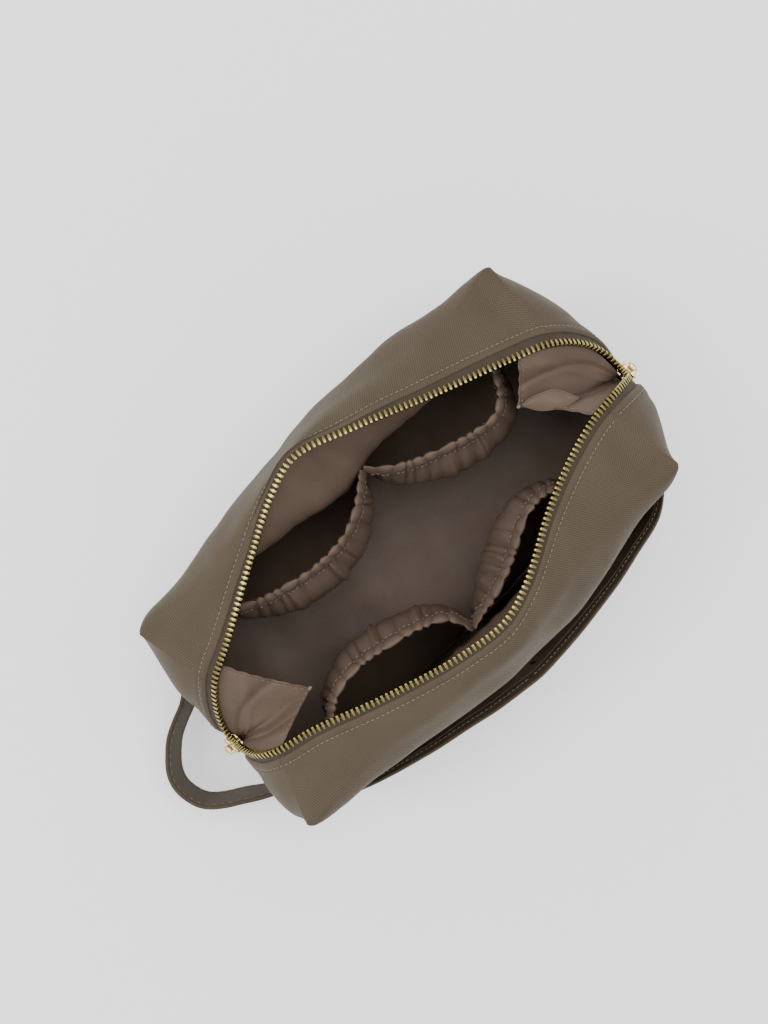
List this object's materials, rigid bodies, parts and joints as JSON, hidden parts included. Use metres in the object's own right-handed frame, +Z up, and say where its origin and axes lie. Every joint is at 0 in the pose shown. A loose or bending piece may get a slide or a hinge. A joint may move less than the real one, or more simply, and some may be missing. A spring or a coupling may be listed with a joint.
{
  "type": "makeup bag",
  "caption": "Soft boxy zip-top makeup bag standing open, with gathered lining pockets, side carry handle and a front slip pocket with a snap.",
  "frame": {"origin": "centre of the base's underside, where the bag stands on the floor", "axes": "+X along the bag away from the side handle, +Y from the slip pocket to the back wall, +Z up"},
  "size_m": [0.3131, 0.1735, 0.1314],
  "materials": {
    "outer_cloth": "fine twill, slight sheen",
    "lining_satin": "satin",
    "zip_tape": "herringbone woven tape",
    "zip_brass": "antique, polished crowns",
    "gold_hardware": "light gold plate"
  },
  "bodies": {
    "bag": {"outer_base_panel": "outer_cloth", "outer_back_panel": "outer_cloth", "outer_front_panel": "outer_cloth", "outer_left_end": "outer_cloth", "outer_right_end": "outer_cloth", "handle_anchor_back": "outer_cloth", "handle_anchor_front": "outer_cloth", "lining_base": "lining_satin", "lining_back": "lining_satin", "lining_front": "lining_satin", "lining_left_end": "lining_satin", "lining_right_end": "lining_satin", "pocket_back_left": "lining_satin", "pocket_back_right": "lining_satin", "pocket_front_left": "lining_satin", "pocket_front_right": "lining_satin", "hem_back_left": "lining_satin", "hem_back_right": "lining_satin", "hem_front_left": "lining_satin", "hem_front_right": "lining_satin", "corner_tuck_left": "lining_satin", "corner_tuck_right": "lining_satin", "zip_tape_back": "zip_tape", "zip_tape_front": "zip_tape", "zip_teeth_back": "zip_brass", "zip_teeth_front": "zip_brass", "zip_stop_left": "zip_brass", "zip_stop_right": "zip_brass", "snap_stud": "gold_hardware"},
    "slider_left": {"zip_slider_left": "gold_hardware"},
    "pull_left": {"zip_pull_left": "gold_hardware"},
    "slider_right": {"zip_slider_right": "gold_hardware"},
    "pull_right": {"zip_pull_right": "gold_hardware"},
    "side_handle": {"handle_strap": "outer_cloth"},
    "front_pocket": {"slip_pocket_panel": "outer_cloth", "slip_pocket_lining": "lining_satin", "slip_pocket_hem": "lining_satin", "snap_socket": "gold_hardware"}
  },
  "joints": [
    {"name": "left_slider_travel", "type": "slide", "parent": "bag", "child": "slider_left", "axis": [0, 0, -1], "range_m": [0, 0.018]},
    {"name": "left_pull_swing", "type": "hinge", "parent": "slider_left", "child": "pull_left", "pos_m": [-0.1309, -0.011, 0.066], "axis": [0, 1, 0], "range_deg": [0, 140]},
    {"name": "right_slider_travel", "type": "slide", "parent": "bag", "child": "slider_right", "axis": [0, 0, -1], "range_m": [0, 0.018]},
    {"name": "right_pull_swing", "type": "hinge", "parent": "slider_right", "child": "pull_right", "pos_m": [0.1414, -0.016, 0.066], "axis": [0, -1, 0], "range_deg": [0, 140]},
    {"name": "side_handle_swing", "type": "hinge", "parent": "bag", "child": "side_handle", "pos_m": [-0.137, -0.012, 0.0135], "axis": [0, 1, 0], "range_deg": [0, 65]},
    {"name": "slip_pocket_swing", "type": "hinge", "parent": "bag", "child": "front_pocket", "pos_m": [0, -0.0635, 0.003], "axis": [1, 0, 0], "range_deg": [-4.3, 12]}
  ]
}
